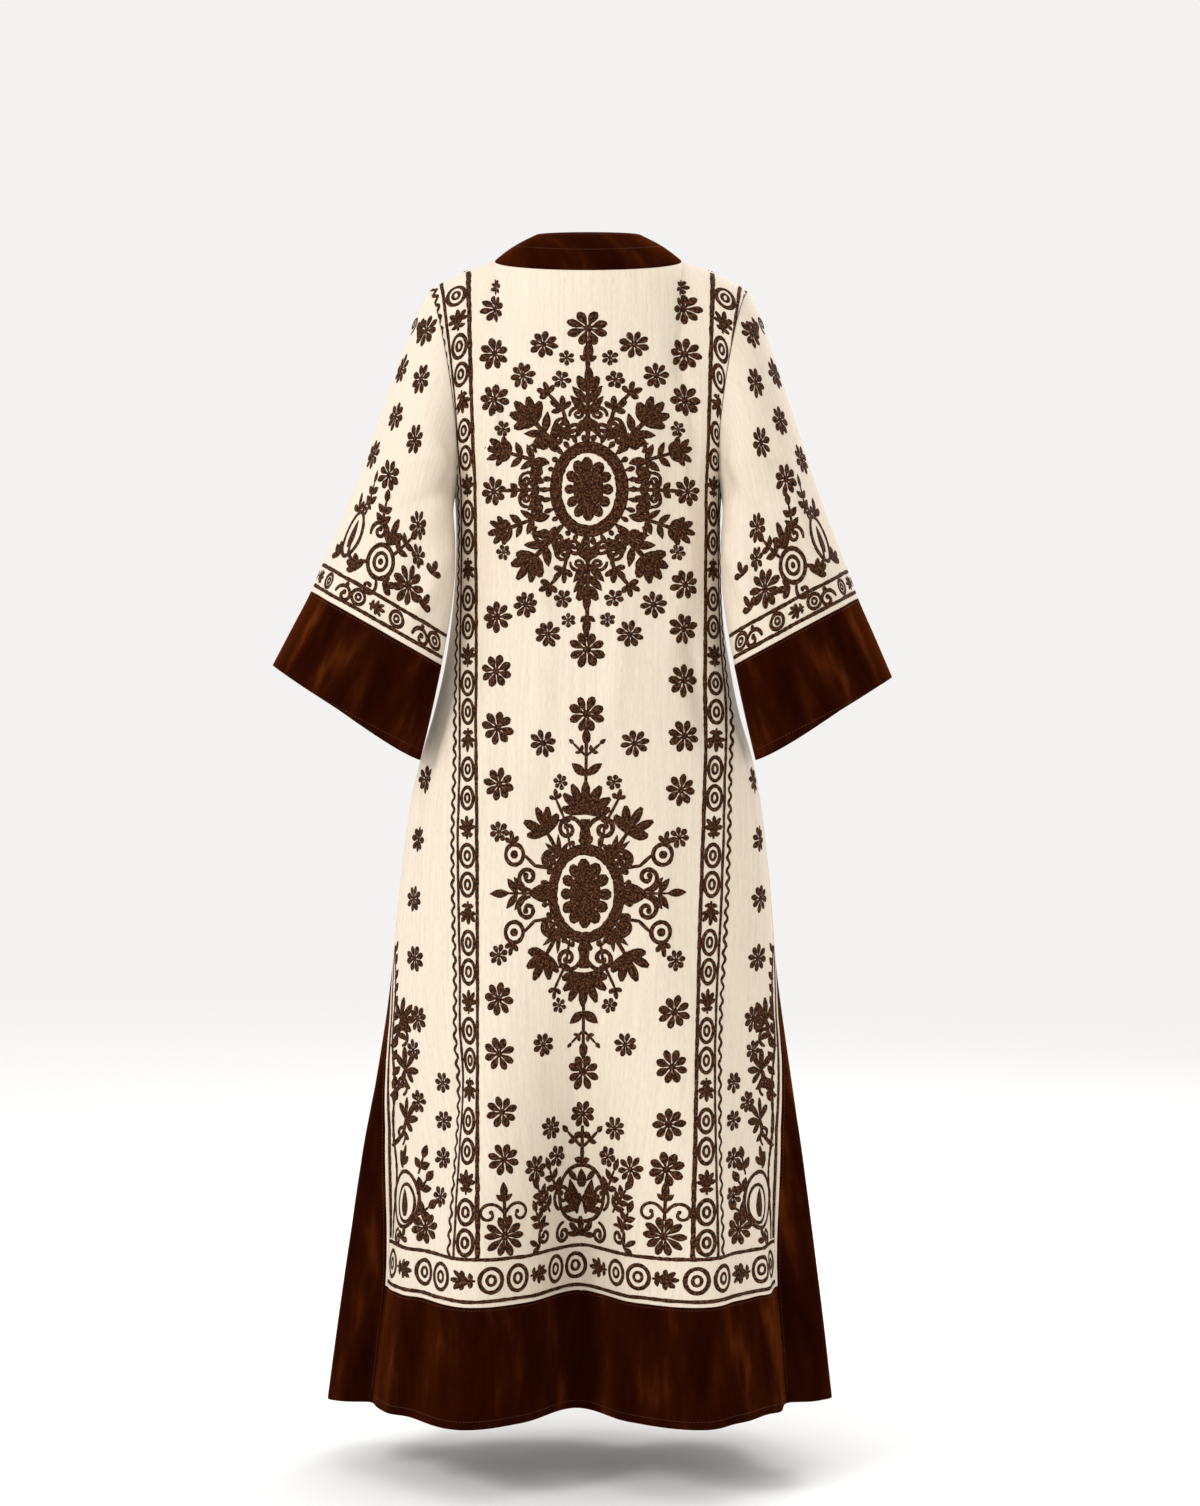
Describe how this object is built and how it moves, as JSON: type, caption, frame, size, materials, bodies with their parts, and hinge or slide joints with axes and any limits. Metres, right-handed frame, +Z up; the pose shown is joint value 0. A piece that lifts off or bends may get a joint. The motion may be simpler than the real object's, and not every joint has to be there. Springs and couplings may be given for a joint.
{
  "type": "abaya",
  "caption": "Long open-front abaya in its worn form, with wide sleeves, velvet collar, cuffs, side gores and hem bands, and embroidered cream panels.",
  "frame": {"origin": "middle of the shoulders, level with the sides of the neckline, where the wearer's shoulders hold the garment", "axes": "+Z up, +Y towards the back of the garment, +X towards the wearer's left"},
  "size_m": [0.7948, 0.3905, 1.4854],
  "materials": {
    "crepe": "matte cream crepe with a fine vertical slub and dark brown chain-stitch embroidery",
    "velvet": "rust-brown cotton velvet with a short, mottled nap"
  },
  "bodies": {
    "root": {"back_panel": "crepe", "front_panel_left": "crepe", "front_panel_right": "crepe", "sleeve_left": "crepe", "sleeve_right": "crepe", "cuff_left": "velvet", "cuff_right": "velvet", "collar": "velvet", "front_band_left": "velvet", "front_band_right": "velvet", "side_gore_left": "velvet", "side_gore_right": "velvet", "hem_band_back": "velvet", "hem_band_front_left": "velvet", "hem_band_front_right": "velvet"}
  },
  "joints": []
}
